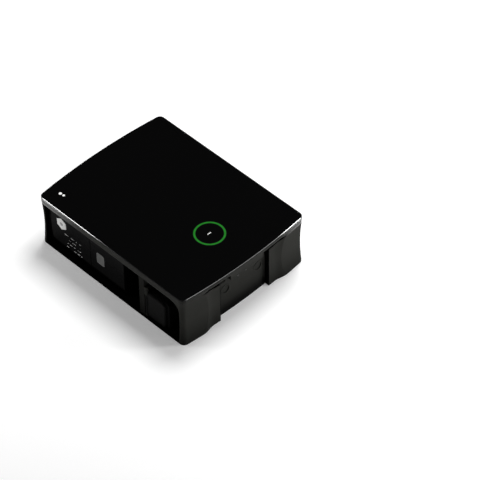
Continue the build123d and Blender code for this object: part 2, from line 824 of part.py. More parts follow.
export_step(socket_housing.part, "parts/socket_housing.step")

# Where the seven contacts stand: three in the middle row, two below and two small ones above
power_contacts = [(tower_y, tower_z + s * contact_pitch) for s in (-1, 0, 1)]
power_contacts += [(tower_y - contact_row, tower_z + s * contact_pitch / 2) for s in (-1, 1)]
signal_contacts = [(tower_y + signal_row, tower_z + s * signal_pitch / 2) for s in (-1, 1)]
carrier_front = well_floor - carrier_length

# Contact carrier: the round insert in the well, flat on its upper side
with BuildPart() as contact_carrier:
    with BuildSketch(Plane.YZ.offset(carrier_front)):
        with Locations((tower_y, tower_z)):
            Circle(carrier_radius)
        with Locations((tower_y + carrier_flat, tower_z)):
            Rectangle(carrier_radius, 2 * carrier_radius, align=(Align.MIN, Align.CENTER), mode=Mode.SUBTRACT)
    extrude(amount=carrier_length)
    with BuildSketch(Plane.YZ.offset(well_floor)):
        with Locations((tower_y, tower_z)):
            Circle(carrier_radius + carrier_flange)
    extrude(amount=-carrier_flange_length)
    with BuildSketch(Plane.YZ.offset(well_floor)):
        with Locations((tower_y, tower_z)):
            Circle(spigot_radius)
    extrude(amount=bay_inner - well_floor)
    with BuildSketch(Plane.YZ.offset(carrier_front)):
        with Locations(*power_contacts):
            Circle(contact_radius)
        with Locations(*signal_contacts):
            Circle(signal_radius)
    extrude(amount=bay_inner - carrier_front, mode=Mode.SUBTRACT)
contact_carrier.part.label = "contact_carrier"
export_step(contact_carrier.part, "parts/contact_carrier.step")

# Contacts: seven sleeves with solid tails that stick out behind the bay
with BuildPart() as socket_contacts:
    sleeve_front = carrier_front + contact_setback
    with BuildSketch(Plane.YZ.offset(sleeve_front)):
        with Locations(*power_contacts):
            Circle(contact_radius - run_fit)
            Circle(contact_bore, mode=Mode.SUBTRACT)
        with Locations(*signal_contacts):
            Circle(signal_radius - run_fit)
            Circle(signal_bore, mode=Mode.SUBTRACT)
    extrude(amount=well_floor - sleeve_front)
    with BuildSketch(Plane.YZ.offset(well_floor)):
        with Locations(*power_contacts):
            Circle(contact_radius - run_fit)
        with Locations(*signal_contacts):
            Circle(signal_radius - run_fit)
    extrude(amount=bay_inner - well_floor)
    with BuildSketch(Plane.YZ.offset(bay_inner)):
        with Locations(*power_contacts, *signal_contacts):
            Circle(tail_radius)
    extrude(amount=contact_tail)
socket_contacts.part.label = "socket_contacts"
export_step(socket_contacts.part, "parts/socket_contacts.step")

# Four screws from behind hold the socket to the bay floor
with BuildPart() as socket_screws:
    for y, z in tower_points:
        add(pan_screw(Plane(origin=(bay_inner, y, z), z_dir=(1, 0, 0)), screw_length))
socket_screws.part.label = "socket_screws"
export_step(socket_screws.part, "parts/socket_screws.step")

# Rubber ring round the mouth of the well, just behind the closed flap
with BuildPart() as flap_seal:
    with BuildSketch(Plane.YZ.offset(tower_front)):
        with Locations((tower_y, tower_z)):
            Circle(well_radius + flap_seal_width)
        with Locations((tower_y + well_flat + flap_seal_width, tower_z)):
            Rectangle(well_radius, 2 * well_radius, align=(Align.MIN, Align.CENTER), mode=Mode.SUBTRACT)
    extrude(amount=-flap_seal_height)
    with BuildSketch(Plane.YZ.offset(tower_front)):
        with Locations((tower_y, tower_z)):
            Circle(well_radius)
        with Locations((tower_y + well_flat, tower_z)):
            Rectangle(well_radius, 2 * well_radius, align=(Align.MIN, Align.CENTER), mode=Mode.SUBTRACT)
    extrude(amount=-flap_seal_height, mode=Mode.SUBTRACT)
flap_seal.part.label = "flap_seal"
export_step(flap_seal.part, "parts/flap_seal.step")

# Socket flap: a cover with a hinge barrel, which is open behind in the middle to take the spring
arm_low = flap_low_z + ear_length + ear_clearance
arm_high = flap_low_z + flap_height - ear_length - ear_clearance
spring_height = spring_turns * spring_pitch + 4 * spring_wire
with BuildPart() as socket_flap:
    plate_root = hinge_y - barrel_radius - ear_gap
    with BuildSketch(Plane.YZ.offset(flap_face)) as cover:
        with Locations(((plate_root + hinge_y - flap_reach) / 2, flap_mid_z)):
            Rectangle(plate_root - hinge_y + flap_reach, flap_height)
        fillet(cover.vertices().group_by(Axis.X)[0], flap_corner)
    extrude(amount=flap_thickness)
    fillet(socket_flap.faces().sort_by(Axis.X)[0].edges().sort_by(Axis.Y)[:-1], flap_round)
    with BuildSketch(Plane.XY.offset(arm_low)):
        with Locations((hinge_x, hinge_y)):
            Circle(barrel_radius)
        with Locations((flap_face, hinge_y)):
            arm_reach = hinge_y - plate_root + flap_thickness
            Rectangle(flap_thickness, arm_reach, align=(Align.MIN, Align.MAX))
        with Locations((hinge_x, hinge_y)):
            Circle(pin_radius + run_fit, mode=Mode.SUBTRACT)
    extrude(amount=arm_high - arm_low)
    with BuildSketch(Plane.XY.offset(flap_mid_z - spring_height / 2)):
        with Locations((hinge_x, hinge_y)):
            spring_room = barrel_radius - spring_cover
            Circle(spring_room)
            Rectangle(barrel_radius, 2 * spring_room, align=(Align.MIN, Align.CENTER))
    extrude(amount=spring_height, mode=Mode.SUBTRACT)
socket_flap.part.label = "socket_flap"
export_step(socket_flap.part, "parts/socket_flap.step")

# Hinge pin through both ears and the barrel
with BuildPart() as flap_hinge_pin:
    with BuildSketch(Plane.XY.offset(flap_low_z)):
        with Locations((hinge_x, hinge_y)):
            Circle(pin_radius)
    extrude(amount=flap_height)
flap_hinge_pin.part.label = "flap_hinge_pin"
export_step(flap_hinge_pin.part, "parts/flap_hinge_pin.step")

# Closing spring: a short coil round the pin, in the gap of the barrel
spring_radius = pin_radius + 2 * spring_wire + run_fit
spring_low = flap_mid_z - spring_turns * spring_pitch / 2
with BuildPart() as flap_spring:
    with BuildLine(Plane((hinge_x, hinge_y, spring_low))) as coil:
        Helix(pitch=spring_pitch, height=spring_turns * spring_pitch, radius=spring_radius)
    with BuildSketch(Plane(origin=coil.line @ 0, z_dir=coil.line % 0)):
        Circle(spring_wire)
    sweep()
flap_spring.part.label = "flap_spring"
export_step(flap_spring.part, "parts/flap_spring.step")

# Lock actuator: a motor box on the upper side of the socket, behind the post
with BuildPart() as lock_actuator:
    with BuildSketch(Plane.XZ.offset(-tower_high)):
        with Locations((bolt_x, tower_z)):
            RectangleRounded(actuator_depth, actuator_length, actuator_corner)
    extrude(amount=-actuator_width)
    with BuildSketch(Plane.XZ.offset(-tower_high)):
        with Locations((bolt_x, tower_z)):
            Rectangle(actuator_ear, actuator_length + 2 * actuator_ear)
        with Locations(*[(bolt_x, z) for z in actuator_zs]):
            Circle(screw_radius + run_fit, mode=Mode.SUBTRACT)
    extrude(amount=-actuator_ear_thickness)
    with BuildSketch(Plane.XZ.offset(-tower_high)):
        with Locations((bolt_x, tower_z)):
            Circle(bolt_radius + run_fit)
    extrude(amount=-(bolt_tip + bolt_length + seat_gap - tower_high), mode=Mode.SUBTRACT)
lock_actuator.part.label = "lock_actuator"
export_step(lock_actuator.part, "parts/lock_actuator.step")

# Lock bolt, drawn back at rest so that its tip is flush with the flat of the well
with BuildPart() as lock_bolt:
    with BuildSketch(Plane.XZ.offset(-bolt_tip)):
        with Locations((bolt_x, tower_z)):
            Circle(bolt_radius)
    extrude(amount=-bolt_length)
    chamfer(lock_bolt.faces().sort_by(Axis.Y)[0].edges(), bolt_radius / 5)
lock_bolt.part.label = "lock_bolt"
export_step(lock_bolt.part, "parts/lock_bolt.step")

with BuildPart() as actuator_screws:
    for z in actuator_zs:
        seat = Plane(origin=(bolt_x, tower_high + actuator_ear_thickness, z), z_dir=(0, 1, 0))
        add(pan_screw(seat, screw_length))
actuator_screws.part.label = "actuator_screws"
export_step(actuator_screws.part, "parts/actuator_screws.step")

# Power board, on four standoffs in the lower half
with BuildPart() as power_board:
    with BuildSketch(Plane.XY.offset(board_bottom)):
        with Locations((board_mid, (power_low + power_high) / 2)):
            RectangleRounded(board_width, power_board_length, board_corner)
        with Locations(*[(x, y) for x in board_xs for y in power_ys]):
            Circle(screw_radius + run_fit, mode=Mode.SUBTRACT)
    extrude(amount=board_thickness)
power_board.part.label = "power_board"
export_step(power_board.part, "parts/power_board.step")

# Control board, on four standoffs in the upper half
with BuildPart() as control_board:
    with BuildSketch(Plane.XY.offset(board_bottom)):
        with Locations((board_mid, (control_low + control_high) / 2)):
            RectangleRounded(board_width, control_board_length, board_corner)
        with Locations(*[(x, y) for x in board_xs for y in control_ys]):
            Circle(screw_radius + run_fit, mode=Mode.SUBTRACT)
    extrude(amount=board_thickness)
control_board.part.label = "control_board"
export_step(control_board.part, "parts/control_board.step")

with BuildPart() as board_screws:
    for x, y in board_points:
        add(pan_screw(Plane((x, y, board_top)), screw_length))
board_screws.part.label = "board_screws"
export_step(board_screws.part, "parts/board_screws.step")

# Relays in a row along the upper edge of the power board
relay_y = power_high - 2 * board_inset - relay_length / 2
with BuildPart() as power_relays:
    with BuildSketch(Plane.XY.offset(board_top)):
        with Locations((board_mid, relay_y)):
            with GridLocations(relay_pitch, 0, relay_count, 1):
                RectangleRounded(relay_width, relay_length, board_corner / 2)
    extrude(amount=relay_height)
power_relays.part.label = "power_relays"
export_step(power_relays.part, "parts/power_relays.step")

# Supply terminals by the cable entry: a block with a funnel for each core and a screw shaft above it
terminal_block_width = terminal_count * terminal_width
terminal_y = power_low + board_corner + terminal_length / 2
terminal_x = entry_pitch / 2
with BuildPart() as supply_terminals:
    with BuildSketch(Plane.XY.offset(board_top)):
        with Locations((terminal_x, terminal_y)):
            Rectangle(terminal_block_width, terminal_length)
    extrude(amount=terminal_height)
    chamfer(supply_terminals.edges().filter_by(Axis.X).group_by(Axis.Z)[-1], terminal_hole)
    with BuildSketch(Plane.XZ.offset(-terminal_y + terminal_length / 2)):
        with Locations((terminal_x, board_top + terminal_height / 3)):
            with GridLocations(terminal_width, 0, terminal_count, 1):
                Circle(terminal_hole)
    extrude(amount=-terminal_length / 2, mode=Mode.SUBTRACT)
    with BuildSketch(Plane.XY.offset(board_top + terminal_height)):
        with Locations((terminal_x, terminal_y)):
            with GridLocations(terminal_width, 0, terminal_count, 1):
                Circle(terminal_screw)
    extrude(amount=-terminal_height / 3, mode=Mode.SUBTRACT)
supply_terminals.part.label = "supply_terminals"
export_step(supply_terminals.part, "parts/supply_terminals.step")

# Residual current sensor: a ring on a foot, between the terminals and the relays
sensor_y = (terminal_y + terminal_length / 2 + relay_y - relay_length / 2) / 2
sensor_z = board_top + sensor_radius
with BuildPart() as current_sensor:
    with BuildSketch(Plane.XZ.offset(-sensor_y)):
        with Locations((terminal_x, sensor_z)):
            Circle(sensor_radius)
        with Locations((terminal_x, board_top)):
            Rectangle(2 * sensor_bore, sensor_radius, align=(Align.CENTER, Align.MIN))
        with Locations((terminal_x, sensor_z)):
            Circle(sensor_bore, mode=Mode.SUBTRACT)
    extrude(amount=sensor_length / 2, both=True)
current_sensor.part.label = "current_sensor"
export_step(current_sensor.part, "parts/current_sensor.step")

# Small power supply for the controller
with BuildPart() as power_supply:
    with BuildSketch(Plane.XY.offset(board_top)):
        with Locations((board_left + 2 * board_inset, power_low + 2 * board_inset)):
            RectangleRounded(supply_width, supply_length, board_corner / 2, align=(Align.MIN, Align.MIN))
    extrude(amount=supply_height)
power_supply.part.label = "power_supply"
export_step(power_supply.part, "parts/power_supply.step")

# Network jack at the lower edge of the control board
with BuildPart() as network_jack:
    with BuildSketch(Plane.XY.offset(board_top)):
        with Locations((board_mid, control_low)):
            Rectangle(jack_width, jack_length, align=(Align.CENTER, Align.MIN))
    extrude(amount=jack_height)
    with BuildSketch(Plane.XZ.offset(-control_low)):
        with Locations((board_mid, board_top + jack_height / 2)):
            Rectangle(jack_mouth_width, jack_mouth_height)
    extrude(amount=-jack_mouth_depth, mode=Mode.SUBTRACT)
network_jack.part.label = "network_jack"
export_step(network_jack.part, "parts/network_jack.step")

# Clamp bar that holds the supply cable, with a half-round groove
clamp_z = back_wall + clamp_rise
with BuildPart() as cable_clamp:
    with BuildSketch(Plane.XZ.offset(-clamp_y)):
        with Locations((entry_pitch / 2, clamp_z)):
            Rectangle(clamp_width, clamp_height, align=(Align.CENTER, Align.MIN))
            Circle(clamp_groove, mode=Mode.SUBTRACT)
    extrude(amount=clamp_length / 2, both=True)
    with BuildSketch(Plane.XY.offset(clamp_z)):
        with Locations(*clamp_points):
            Circle(screw_radius + run_fit)
    extrude(amount=clamp_height, mode=Mode.SUBTRACT)
cable_clamp.part.label = "cable_clamp"
export_step(cable_clamp.part, "parts/cable_clamp.step")

with BuildPart() as clamp_screws:
    for x, y in clamp_points:
        add(pan_screw(Plane((x, y, clamp_z + clamp_height)), clamp_height + screw_length))
clamp_screws.part.label = "clamp_screws"
export_step(clamp_screws.part, "parts/clamp_screws.step")

# Earth stud with its nut, standing on the back wall beside the clamp
with BuildPart() as earth_stud:
    with BuildSketch(Plane.XY.offset(back_wall)):
        with Locations((-entry_pitch / 2, clamp_y)):
            Circle(earth_radius)
    extrude(amount=earth_length)
    with BuildSketch(Plane.XY.offset(back_wall)):
        with Locations((-entry_pitch / 2, clamp_y)):
            Circle(earth_flange)
    extrude(amount=earth_radius)
    with BuildSketch(Plane.XY.offset(back_wall + earth_length / 2)):
        with Locations((-entry_pitch / 2, clamp_y)):
            RegularPolygon(earth_nut_radius, 6)
    extrude(amount=earth_nut_height)
earth_stud.part.label = "earth_stud"
export_step(earth_stud.part, "parts/earth_stud.step")
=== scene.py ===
import math
import bmesh
import bpy
from mathutils import Matrix, Vector


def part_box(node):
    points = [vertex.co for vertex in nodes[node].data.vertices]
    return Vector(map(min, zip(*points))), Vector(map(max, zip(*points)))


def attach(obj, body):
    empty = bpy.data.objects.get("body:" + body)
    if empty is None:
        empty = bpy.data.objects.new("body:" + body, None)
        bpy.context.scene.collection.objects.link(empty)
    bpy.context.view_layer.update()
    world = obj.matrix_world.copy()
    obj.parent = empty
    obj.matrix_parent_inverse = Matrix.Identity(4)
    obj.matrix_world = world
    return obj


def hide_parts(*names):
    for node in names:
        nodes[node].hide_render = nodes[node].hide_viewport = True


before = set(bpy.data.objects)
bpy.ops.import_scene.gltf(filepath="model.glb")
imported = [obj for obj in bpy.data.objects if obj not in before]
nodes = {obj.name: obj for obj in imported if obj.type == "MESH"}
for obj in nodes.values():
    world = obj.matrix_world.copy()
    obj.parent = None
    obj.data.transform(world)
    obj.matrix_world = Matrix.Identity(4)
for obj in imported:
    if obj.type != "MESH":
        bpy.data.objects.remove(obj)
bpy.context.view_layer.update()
scene = bpy.context.scene
scene.view_settings.view_transform = "Standard"

# View of the wallbox
# A long lens looks down on the near corner, so that the glass front, the side bay and the lower
# end all show. The wallbox lies on its back.
picture_width = 480
focal_length_pixels = 2662.566
camera_place = (-2.497432, -2.770924, 3.835095)
view_azimuth = math.radians(-44.113)
view_height = math.radians(45.619)
view_roll = math.radians(-0.691)
to_camera = Vector((
    math.sin(view_azimuth) * math.cos(view_height),
    -math.cos(view_azimuth) * math.cos(view_height),
    math.sin(view_height),
))
level = Vector((0, 0, 1)).cross(to_camera).normalized()
upright = to_camera.cross(level)
across = math.cos(view_roll) * level + math.sin(view_roll) * upright
along = -math.sin(view_roll) * level + math.cos(view_roll) * upright
camera_turn = Matrix((across, along, to_camera)).transposed().to_4x4()
camera = bpy.data.objects.new("camera", bpy.data.cameras.new("camera"))
camera.data.sensor_width = 36.0
camera.data.lens = focal_length_pixels / picture_width * camera.data.sensor_width
camera.matrix_world = Matrix.Translation(camera_place) @ camera_turn
scene.collection.objects.link(camera)
scene.camera = camera

# Rear housing
# One deep tub of glass-filled charcoal plastic, moulded in a spark-eroded tool that leaves a fine
# satin grain. It carries the legs, the framed side bay and the hinge ears, and is screwed to the wall.


def feed(tree, socket, value):
    """Links another node's output to the socket, or sets the socket to a plain value."""
    if isinstance(value, bpy.types.NodeSocket):
        tree.links.new(value, socket)
    else:
        socket.default_value = value


def add_node(tree, kind, settings=None, **inputs):
    """Adds a node, sets its own settings and feeds its named inputs."""
    made = tree.nodes.new(kind)
    for name, value in (settings or {}).items():
        setattr(made, name, value)
    for name, value in inputs.items():
        feed(tree, made.inputs[name.replace("_", " ")], value)
    return made


def calc(tree, operation, *values, clamp=False):
    """Output of a calculation on numbers or other nodes' outputs."""
    step = add_node(tree, "ShaderNodeMath", {"operation": operation, "use_clamp": clamp})
    for socket, value in zip(step.inputs, values):
        feed(tree, socket, value)
    return step.outputs[0]


def mixed(tree, factor, first, second, kind="RGBA", blend="MIX"):
    """Output of a mix of two colours, or of two numbers where the kind is FLOAT."""
    settings = {"data_type": kind, "blend_type": blend}
    return add_node(tree, "ShaderNodeMix", settings, Factor=factor, A=first, B=second).outputs["Result"]


def place_axes(tree):
    """Outputs X, Y and Z of the place on the piece."""
    where = add_node(tree, "ShaderNodeTexCoord")
    return add_node(tree, "ShaderNodeSeparateXYZ", Vector=where.outputs["Object"]).outputs


def new_group(name, inputs, outputs):
    """Starts a shader node group with named number inputs and named outputs."""
    group = bpy.data.node_groups.new(name, "ShaderNodeTree")
    for label, value in inputs.items():
        socket = group.interface.new_socket(label, in_out="INPUT", socket_type="NodeSocketFloat")
        socket.default_value = value
    for label, kind in outputs.items():
        group.interface.new_socket(label, in_out="OUTPUT", socket_type="NodeSocket" + kind)
    return group, group.nodes.new("NodeGroupInput").outputs, group.nodes.new("NodeGroupOutput").inputs


# Grain of a moulded surface: fine pits over a slow, faint cloudiness
grain_group, grain_in, grain_out = new_group(
    "moulded_grain", {"Fineness": 1800.0, "Cloud size": 22.0}, {"Pits": "Float", "Cloud": "Float"}
)
cell_share = 0.5
grain_place = add_node(grain_group, "ShaderNodeTexCoord").outputs["Object"]
pits = add_node(
    grain_group, "ShaderNodeTexNoise", Vector=grain_place, Scale=grain_in["Fineness"], Detail=3.0, Roughness=0.6
)
cells = add_node(
    grain_group, "ShaderNodeTexVoronoi", {"feature": "SMOOTH_F1"},
    Vector=grain_place, Scale=grain_in["Fineness"], Smoothness=0.6,
)
cloud = add_node(
    grain_group, "ShaderNodeTexNoise", Vector=grain_place, Scale=grain_in["Cloud size"], Detail=4.0, Roughness=0.55
)
pit_height = calc(grain_group, "MULTIPLY_ADD", cells.outputs["Distance"], cell_share, pits.outputs["Fac"])
feed(grain_group, grain_out["Pits"], pit_height)
feed(grain_group, grain_out["Cloud"], cloud.outputs["Fac"])

# Soft edges: the small radius that every moulded or cut edge has, and a mask of where it lies
edge_group, edge_in, edge_out = new_group(
    "soft_edges", {"Edge radius": 0.0006, "Edge gain": 3.0}, {"Normal": "Vector", "Edge": "Float"}
)
rounded = add_node(edge_group, "ShaderNodeBevel", {"samples": 6}, Radius=edge_in["Edge radius"]).outputs["Normal"]
agreement = add_node(edge_group, "ShaderNodeVectorMath", {"operation": "DOT_PRODUCT"})
feed(edge_group, agreement.inputs[0], rounded)
feed(edge_group, agreement.inputs[1], add_node(edge_group, "ShaderNodeNewGeometry").outputs["Normal"])
turned_away = calc(edge_group, "SUBTRACT", 1.0, agreement.outputs["Value"], clamp=True)
feed(edge_group, edge_out["Normal"], rounded)
feed(edge_group, edge_out["Edge"], calc(edge_group, "MULTIPLY", turned_away, edge_in["Edge gain"], clamp=True))


def new_material(name):
    """A material, its node tree and the inputs of its shader."""
    material = bpy.data.materials.new(name)
    material.use_nodes = True
    return material, material.node_tree, material.node_tree.nodes["Principled BSDF"].inputs


def uneven_gloss(tree, grain, smooth, rough):
    """Roughness between two values, which follows the cloudiness of the grain."""
    spread = add_node(
        tree, "ShaderNodeMapRange",
        Value=grain.outputs["Cloud"], From_Min=0.3, From_Max=0.7, To_Min=smooth, To_Max=rough,
    )
    return spread.outputs["Result"]


def moulded(
    name, dark, light, edge, rough, fineness=1800.0, depth=0.00004, metal=0.0, radius=0.0006, shine=0.5
):
    """Finish of a moulded or machined piece: two close shades, softened edges, grain and uneven gloss."""
    material, tree, finish = new_material(name)
    grain = add_node(tree, "ShaderNodeGroup", {"node_tree": grain_group}, Fineness=fineness)
    edges = add_node(tree, "ShaderNodeGroup", {"node_tree": edge_group}, Edge_radius=radius)
    shade = mixed(tree, grain.outputs["Cloud"], (*dark, 1), (*light, 1))
    bump = add_node(
        tree, "ShaderNodeBump",
        Strength=0.6, Distance=depth, Height=grain.outputs["Pits"], Normal=edges.outputs["Normal"],
    )
    feed(tree, finish["Base Color"], mixed(tree, edges.outputs["Edge"], shade, (*edge, 1)))
    feed(tree, finish["Metallic"], metal)
    feed(tree, finish["Roughness"], uneven_gloss(tree, grain, *rough))
    feed(tree, finish["Specular IOR Level"], shine)
    feed(tree, finish["Normal"], bump.outputs["Normal"])
    return material


def dress(material, *names):
    """Gives the named pieces of the frame this material."""
    for name in names:
        nodes[name].data.materials.clear()
        nodes[name].data.materials.append(material)


def painted_foot_shade(material, stops):
    """Paints shade on a finish towards the floor, by stops of height and share of the colour."""
    tree = material.node_tree
    colour_in = tree.nodes["Principled BSDF"].inputs["Base Color"]
    full_colour = colour_in.links[0].from_socket
    top = stops[-1][0]
    height = add_node(tree, "ShaderNodeMapRange", Value=place_axes(tree)["Z"], From_Max=top)
    ramp = add_node(tree, "ShaderNodeValToRGB", Fac=height.outputs["Result"])
    elements = ramp.color_ramp.elements
    while len(elements) < len(stops):
        elements.new(0.5)
    for element, (stop, share) in zip(elements, stops):
        element.position = stop / top
        element.color = (share, share, share, 1)
    feed(tree, colour_in, mixed(tree, 1.0, full_colour, ramp.outputs["Color"], blend="MULTIPLY"))


def rim_coat_with_painted_sheen(material, foot):
    """Puts a clear coat on the rim above the foot, and raises it towards the top end and the right hand side as
    painted sheen.
    """
    least_polish = 0.06
    polish_roughness = 0.2
    tree = material.node_tree
    finish = tree.nodes["Principled BSDF"].inputs
    axes = place_axes(tree)
    coat_and_painted_sheen = []
    for axis, start, end in (("X", 0.09, 0.16), ("Y", 0.06, 0.2)):
        fade = add_node(
            tree, "ShaderNodeMapRange", {"interpolation_type": "SMOOTHSTEP"},
            Value=axes[axis], From_Min=start, From_Max=end, To_Min=least_polish,
        )
        coat_and_painted_sheen.append(fade.outputs["Result"])
    above = calc(tree, "GREATER_THAN", axes["Z"], foot)
    feed(tree, finish["Coat Weight"], calc(tree, "MULTIPLY", calc(tree, "MAXIMUM", *coat_and_painted_sheen), above))
    feed(tree, finish["Coat Roughness"], polish_roughness)


def mask_within(tree, axes, limits):
    """One where every named value lies between its limits, and nothing elsewhere."""
    mask = 1.0
    for name, (low, high) in limits.items():
        within = calc(tree, "COMPARE", axes[name], (low + high) / 2, (high - low) / 2)
        mask = calc(tree, "MULTIPLY", within, mask)
    return mask


satin_shine = 0.015
rim_foot = 0.1095
charcoal_shades = ((0.026, 0.0262, 0.0236), (0.034, 0.0343, 0.031), (0.05, 0.05, 0.046))
housing_finish = moulded("charcoal_with_painted_shade", *charcoal_shades, (0.44, 0.52), shine=satin_shine)
# Painted shade darkens the housing towards the floor, and the rim's clear coat rises towards the top end and the
# right hand side as painted sheen.
painted_foot_shade(housing_finish, ((0.0, 0.52), (0.03, 0.8), (0.06, 1.0)))
rim_coat_with_painted_sheen(housing_finish, rim_foot)

# Painted shade: matt black is painted where shade falls, on what lies behind the side opening, apart from the hinge
# ears, on the sill, and on the sides of the niche and the shadow grooves over the legs. On the front of the
# post and the upper end post the painted shade is lighter. Side is the way from the middle, and slant the
# height over a line that falls away along the grooves.
bay = {"X": (-0.1627, -0.11), "Y": (-0.1935, 0.1939), "Z": (0.0025, 0.1095)}
hinge_ears = {"X": (-0.17, -0.15), "Y": (-0.1025, -0.0937)}
niche_sides = {"side": (0.0655, 0.0672), "Y": (-0.2098, -0.18)}
leg_grooves = {"side": (0.062, 0.1185), "Y": (-0.216, -0.18), "Z": (0.1019, 0.1121), "slant": (0.081, 0.3)}
post_front = {"X": (-0.167, -0.1626), "Y": (-0.0938, -0.0795), "Z": (0.003, 0.1095)}
end_post = {"X": (-0.167, -0.15), "Y": (0.1938, 0.216), "Z": (-0.001, 0.1095)}
sill = {"X": (-0.167, -0.11), "Y": (-0.19, 0.1939), "Z": (-0.001, 0.0031)}
groove_slope = 0.2618
lighter_shade_share = 0.4
painted_shade_black = (0.0015, 0.0015, 0.0015, 1)
painted_shade_roughness = 0.9
housing_tree = housing_finish.node_tree
housing_shader_inputs = housing_tree.nodes["Principled BSDF"].inputs
housing_axes = dict(place_axes(housing_tree).items())
housing_axes["side"] = calc(housing_tree, "ABSOLUTE", housing_axes["X"])
housing_axes["slant"] = calc(
    housing_tree, "MULTIPLY_ADD", housing_axes["side"], -groove_slope, housing_axes["Z"]
)
in_bay, in_ears, in_niche, in_grooves, on_post, on_end, on_sill = (
    mask_within(housing_tree, housing_axes, limits)
    for limits in (bay, hinge_ears, niche_sides, leg_grooves, post_front, end_post, sill)
)
lighter_painted_shade = calc(housing_tree, "MULTIPLY", calc(housing_tree, "MAXIMUM", on_post, on_end), lighter_shade_share)
painted_shade_mask = calc(housing_tree, "SUBTRACT", in_bay, in_ears, clamp=True)
for mask in (in_niche, in_grooves, on_sill, lighter_painted_shade):
    painted_shade_mask = calc(housing_tree, "MAXIMUM", painted_shade_mask, mask)
colour_before_shade = housing_shader_inputs["Base Color"].links[0].from_socket
gloss_before_shade = housing_shader_inputs["Roughness"].links[0].from_socket
# Painted shade: the masked places take the matt black colour and its roughness.
feed(housing_tree, housing_shader_inputs["Base Color"], mixed(housing_tree, painted_shade_mask, colour_before_shade, painted_shade_black))
feed(housing_tree, housing_shader_inputs["Roughness"], mixed(housing_tree, painted_shade_mask, gloss_before_shade, painted_shade_roughness, "FLOAT"))
dress(housing_finish, "rear_housing")

# Screws
# Zinc-plated pan heads with a six-lobed drive, cold headed and rolled. Each set is one turned
# pattern placed at its holes, with the head standing on the piece that it holds.
zinc = moulded(
    "zinc_plate", (0.5, 0.5, 0.51), (0.64, 0.64, 0.65), (0.75, 0.75, 0.76), (0.26, 0.38),
    fineness=900.0, depth=0.00001, metal=1.0, radius=0.0002,
)
screw_tree = bpy.data.node_groups.new("screws_at_holes", "GeometryNodeTree")
screw_sockets = {
    label: screw_tree.interface.new_socket(label, in_out="INPUT", socket_type="NodeSocket" + kind)
    for label, kind in (("Geometry", "Geometry"), ("Screw", "Object"), ("Metal", "Material"))
}
screw_tree.interface.new_socket("Geometry", in_out="OUTPUT", socket_type="NodeSocketGeometry")
holes = screw_tree.nodes.new("NodeGroupInput").outputs
pattern = add_node(screw_tree, "GeometryNodeObjectInfo", Object=holes["Screw"])
facing = add_node(screw_tree, "GeometryNodeInputNamedAttribute", {"data_type": "FLOAT_VECTOR"}, Name="facing")
aim = add_node(
    screw_tree, "FunctionNodeAlignEulerToVector", {"axis": "Z"}, Vector=facing.outputs["Attribute"]
)
stand = add_node(
    screw_tree, "GeometryNodeInstanceOnPoints",
    Points=holes["Geometry"], Instance=pattern.outputs["Geometry"], Rotation=aim.outputs["Rotation"],
)
solid = add_node(screw_tree, "GeometryNodeRealizeInstances", Geometry=stand.outputs["Instances"])
plated = add_node(
    screw_tree, "GeometryNodeSetMaterial", Geometry=solid.outputs["Geometry"], Material=holes["Metal"]
)
feed(screw_tree, screw_tree.nodes.new("NodeGroupOutput").inputs["Geometry"], plated.outputs["Geometry"])


def turned_mesh(name, rings, sides=30, lobes=6):
    """Closed mesh from rings of (radius, lobe depth, height), from the top middle to the bottom middle."""
    shape = bmesh.new()
    rows = []
    for radius, lobe, height in rings:
        row = []
        for step in range(sides):
            angle = math.tau * step / sides
            reach = radius + lobe * math.cos(lobes * angle)
            row.append(shape.verts.new((reach * math.cos(angle), reach * math.sin(angle), height)))
        rows.append(row)
    for upper, lower in zip(rows, rows[1:]):
        for step in range(sides):
            after = (step + 1) % sides
            shape.faces.new((upper[step], lower[step], lower[after], upper[after]))
    shape.faces.new(rows[0])
    shape.faces.new(list(reversed(rows[-1])))
    bmesh.ops.recalc_face_normals(shape, faces=shape.faces)
    mesh = bpy.data.meshes.new(name)
    shape.to_mesh(mesh)
    shape.free()
    return mesh


def make_plain(maker):
    """Turns an object with a node modifier into a plain mesh and removes the modifier."""
    seen = maker.evaluated_get(bpy.context.evaluated_depsgraph_get())
    mesh = bpy.data.meshes.new_from_object(seen)
    maker.modifiers.clear()
    maker.data = mesh


def screw_set(node, seats, facings, length, metal=zinc):
    """Replaces a node of screws by detailed ones at the same seats."""
    head_radius = 0.003
    head_height = 0.0018
    shank_radius = 0.0015
    drive_radius = 0.00125
    drive_depth = 0.0011
    rings = [
        (drive_radius * 0.9, 0.00015, head_height - drive_depth),
        (drive_radius, 0.0002, head_height - 0.00005),
        (drive_radius + 0.0004, 0.0, head_height),
        (head_radius * 0.72, 0.0, head_height * 0.96),
        (head_radius * 0.9, 0.0, head_height * 0.74),
        (head_radius, 0.0, head_height * 0.36),
        (head_radius, 0.0, 0.0),
        (shank_radius, 0.0, 0.0),
        (shank_radius, 0.0, -length + 0.0006),
        (shank_radius * 0.6, 0.0, -length),
    ]
    screw = bpy.data.objects.new(node + "_pattern", turned_mesh(node + "_pattern", rings))
    scene.collection.objects.link(screw)
    points = bpy.data.meshes.new(node + "_seats")
    points.from_pydata(seats, [], [])
    direction = points.attributes.new("facing", "FLOAT_VECTOR", "POINT")
    for index, facing_vector in enumerate(facings):
        direction.data[index].vector = facing_vector
    screws = bpy.data.objects.new(node + "_detailed", points)
    scene.collection.objects.link(screws)
    maker = screws.modifiers.new("screws", "NODES")
    maker.node_group = screw_tree
    maker[screw_sockets["Screw"].identifier] = screw
    maker[screw_sockets["Metal"].identifier] = metal
    make_plain(screws)
    bpy.data.objects.remove(screw)
    if "facing" in screws.data.attributes:
        screws.data.attributes.remove(screws.data.attributes["facing"])
    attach(screws, "housing")
    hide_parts(node)


